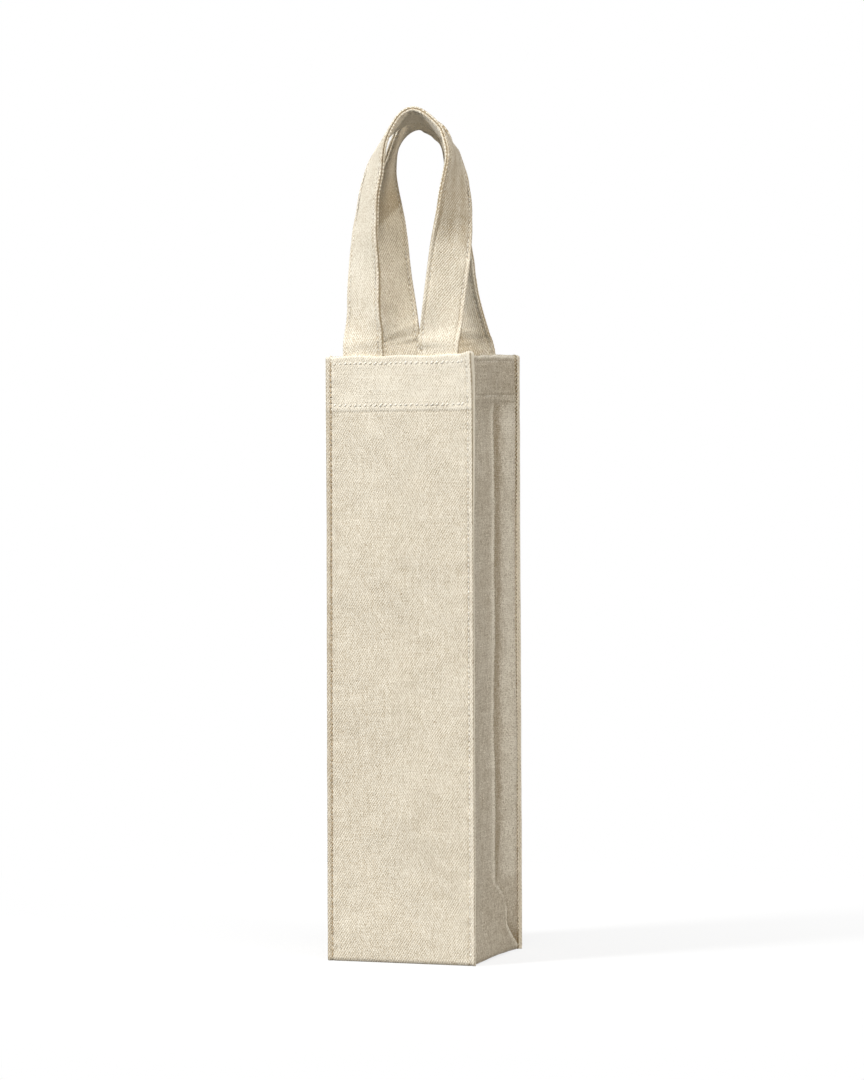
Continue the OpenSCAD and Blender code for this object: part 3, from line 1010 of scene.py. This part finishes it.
# The same twill as canvas with its yarn contrast raised for the side walls: the grain plus stronger painted
# shade between the yarns.
SIDE_CANVAS = cloth_material("side_canvas", rgb(255, 249, 233), rgb(166, 149, 120), contrast=2.2)
STRAP = cloth_material("strap_cloth", rgb(255, 249, 233), rgb(188, 171, 141))
PALE_THREAD = thread_material("pale_thread", rgb(255, 252, 244), rgb(240, 233, 216))
SEAM_THREAD = thread_material("seam_thread", rgb(220, 203, 173), rgb(176, 155, 124))


def finish_piece(piece, material, slot, body, *nodes):
    """Gives a piece its material and lets it stand for the frame's nodes; the slot is not used."""
    piece.data.materials.append(material)
    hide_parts(*nodes)
    if body:
        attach(piece, body)
    return piece


# The bag

FRONT_SEED, BACK_SEED, LEFT_SEED, RIGHT_SEED = 11, 23, 37, 53

front = finish_piece(make_panel("front_cloth", -1, FRONT_SEED), CANVAS, "canvas", "bag", "front_panel")
back = finish_piece(make_panel("back_cloth", 1, BACK_SEED), CANVAS, "canvas", "bag", "back_panel")
left = make_gusset("left_gusset_cloth", -1, LEFT_SEED)
right = make_gusset("right_gusset_cloth", 1, RIGHT_SEED)
finish_piece(left, SIDE_CANVAS, "canvas", "bag", "left_gusset")
finish_piece(right, SIDE_CANVAS, "canvas", "bag", "right_gusset")
base = finish_piece(make_base(), CANVAS, "canvas", "bag", "base_panel")

# Upright seams: needle thread on the panel, bobbin thread on the gusset's side
for y_name, side_y, seed in (("front", -1, FRONT_SEED), ("back", 1, BACK_SEED)):
    for x_name, side_x in (("left", -1), ("right", 1)):
        rows = [
            stitch_row(*seam_line(side_x, side_y, seed, inside), seed + 7 + inside, **SEAM_STITCH)
            for inside in (False, True)
        ]
        name = f"{y_name}_{x_name}_seam"
        # The front right seam's stitches take the pale thread: painted light on that seam's thread.
        thread = PALE_THREAD if name == "front_right_seam" else SEAM_THREAD
        finish_piece(make_stitches(name + "_stitches", rows), thread, "seam_thread", "bag", name + "_thread")

# Hem rows, right round the mouth
for name, below, side_below in (("top_edge", EDGE_ROW, EDGE_ROW), ("hem", HEM, SIDE_HEM)):
    lines = (
        (panel_row_line(-1, below, FRONT_SEED), FRONT_SEED),
        (panel_row_line(1, below, BACK_SEED), BACK_SEED),
        (gusset_row_line(-1, side_below, LEFT_SEED), LEFT_SEED),
        (gusset_row_line(1, side_below, RIGHT_SEED), RIGHT_SEED),
    )
    rows = [stitch_row(*line, seed + 9, **HEM_STITCH) for line, seed in lines]
    finish_piece(make_stitches(name + "_stitches", rows), PALE_THREAD, "pale_thread", "bag", name + "_thread")

# Handles: each strap is one piece that bends over the hem
FRONT_LOOP = Loop(
    side=-1, shift=0.0, sways=(6.0, -4.6), rise=LOOP_RISE + 0.7, arches=(8.3, 8.6),
    bows=((4.8, -1.3), (3.0, -0.2)),
    turns=(
        ((22, 0, 0.20), (25, 0.18, 0.72), (38, 0.69, 1.03)),
        ((23, 0, 0.25), (36, 0.33, 0.66), (33, 0.61, 0.83), (4, 0.8, 1)),
    ),
    roll=(26, 0.05, 0.09),
)
BACK_LOOP = Loop(
    side=1, shift=BACK_SHIFT, sways=(-6.1, 0.2), rise=BACK_RISE - 0.6, arches=(8.0, 11.0),
    bows=((3.5, 0.3), (-7.5, -1.2)),
    turns=(
        ((33, 0, 0.36), (70, 0.44, 0.95)),
        ((14, 0, 0.25), (30, 0.40, 0.72), (33, 0.62, 1)),
    ),
    roll=(31, 0.10, 0.12),
)
for y_name, loop, seed in (("front", FRONT_LOOP, 61), ("back", BACK_LOOP, 83)):
    nodes = [f"{y_name}_handle_loop", f"{y_name}_left_strap_end", f"{y_name}_right_strap_end"]
    strap = finish_piece(make_strap(f"{y_name}_strap", loop, seed), STRAP, "strap", None, *nodes)
    rows = [
        stitch_row(*strap_row_line(loop, edge, face), seed + 3 + edge + 2 * face, **STRAP_STITCH)
        for edge in (-1, 1) for face in (-1, 1)
    ]
    stitches = finish_piece(
        make_stitches(f"{y_name}_strap_stitches", rows), PALE_THREAD, "pale_thread", None,
        f"{y_name}_handle_thread",
    )
    wall_y = loop.side * HALF_D * MM
    for piece in (strap, stitches):
        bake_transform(piece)


# Floor, light and camera

WORLD_LIGHT = 0.10
FLOOR_SIZE = 12.0
FLOOR_GLOW, FLOOR_TAKE, FLOOR_BOUNCE = 0.79, 0.21, 0.20
SHADOW_NEAR, SHADOW_FAR = 0.06, 0.50


def grey(value):
    """A plain grey, as a linear colour."""
    return (value, value, value, 1)


def make_floor():
    """A wide floor: white to the camera apart from the shadow near the bag, and grey to all other light.

    Near the bag it glows a little less than white and takes the rest from the lamps, and further out it is
    plain white.
    """
    mesh = bpy.data.meshes.new("floor")
    corners = [(x * FLOOR_SIZE, y * FLOOR_SIZE, 0) for x, y in ((-1, -1), (1, -1), (1, 1), (-1, 1))]
    mesh.from_pydata(corners, [], [(0, 1, 2, 3)])
    shader = Shader(bpy.data.materials.new("floor"))
    plain = shader.node("ShaderNodeBsdfDiffuse", None, {"Color": grey(FLOOR_BOUNCE)})
    glow = shader.node("ShaderNodeEmission", None, {"Color": grey(1), "Strength": FLOOR_GLOW})
    shadowed = shader.node("ShaderNodeBsdfDiffuse", None, {"Color": grey(FLOOR_TAKE)})
    near = shader.node("ShaderNodeAddShader", None, [glow, shadowed])
    white = shader.node("ShaderNodeEmission", None, {"Color": grey(1), "Strength": 1.0})
    distance = shader.node("ShaderNodeVectorMath", {"operation": "LENGTH"}, [shader.place()], "Value")
    lit = shader.node("ShaderNodeMixShader", None, [distance.fade(SHADOW_NEAR, SHADOW_FAR), near, white])
    shader.output(shader.node("ShaderNodeMixShader", None, [shader.seen(), plain, lit]))
    mesh.materials.append(shader.owner)
    link(bpy.data.objects.new("floor", mesh))


def make_world():
    """White to the camera, a plain soft grey to everything else."""
    world = bpy.data.worlds.new("studio")
    bpy.context.scene.world = world
    shader = Shader(world)
    soft = shader.node("ShaderNodeBackground", None, {"Color": grey(1), "Strength": WORLD_LIGHT})
    white = shader.node("ShaderNodeBackground", None, {"Color": grey(1), "Strength": 1.0})
    light = shader.node("ShaderNodeMixShader", None, [shader.seen(), soft, white])
    shader.output(light, "ShaderNodeOutputWorld")


def make_lamp(name, away, spread, strength, tint=(1, 1, 1)):
    """A distant soft lamp that shines from a direction; spread is how wide it looks, in degrees."""
    light = bpy.data.lights.new(name, "SUN")
    light.angle = math.radians(spread)
    light.energy = strength * math.pi
    light.color = tint
    lamp = link(bpy.data.objects.new(name, light))
    lamp.location = Vector(away) * 2
    lamp.rotation_euler = Vector(away).to_track_quat("Z", "Y").to_euler()


make_floor()
make_world()
make_lamp("key", (-0.555, -0.617, 0.50), 11, 0.925)
make_lamp("fill", (0.83, -0.44, 0.22), 12, 0.39, (1.0, 0.925, 0.83))
make_lamp("top", (0.15, -0.25, 0.95), 25, 0.35)
make_lamp("back", (-0.35, 0.90, 0.25), 30, 0.30)

# Camera fitted to the corners of the bag in the 864 x 1080 frame, in metres from the bag
AZIMUTH, ELEVATION = math.radians(18.09), math.radians(3.01)
FOCAL_PX, LONG_SIDE_PX = 6003.0, 1080.0
SENSOR_MM = 36.0
DISTANCE = 3.433
AIM = Vector((0, 0, 0.2426))
OFFSET_RIGHT, OFFSET_UP = 0.00449, -0.00437

back_way = Vector((
    math.sin(AZIMUTH) * math.cos(ELEVATION), -math.cos(AZIMUTH) * math.cos(ELEVATION), math.sin(ELEVATION),
))
right_way = Vector((math.cos(AZIMUTH), math.sin(AZIMUTH), 0))
up_way = back_way.cross(right_way)
lens = bpy.data.cameras.new("camera")
lens.sensor_width = SENSOR_MM
lens.lens = SENSOR_MM * FOCAL_PX / LONG_SIDE_PX
lens.clip_start, lens.clip_end = 0.05, 60.0
camera = link(bpy.data.objects.new("camera", lens))
eye = AIM + back_way * DISTANCE + right_way * OFFSET_RIGHT + up_way * OFFSET_UP
camera.matrix_world = Matrix.Translation(eye) @ Matrix((right_way, up_way, back_way)).transposed().to_4x4()
bpy.context.scene.camera = camera
bpy.context.scene.view_settings.view_transform = "Standard"
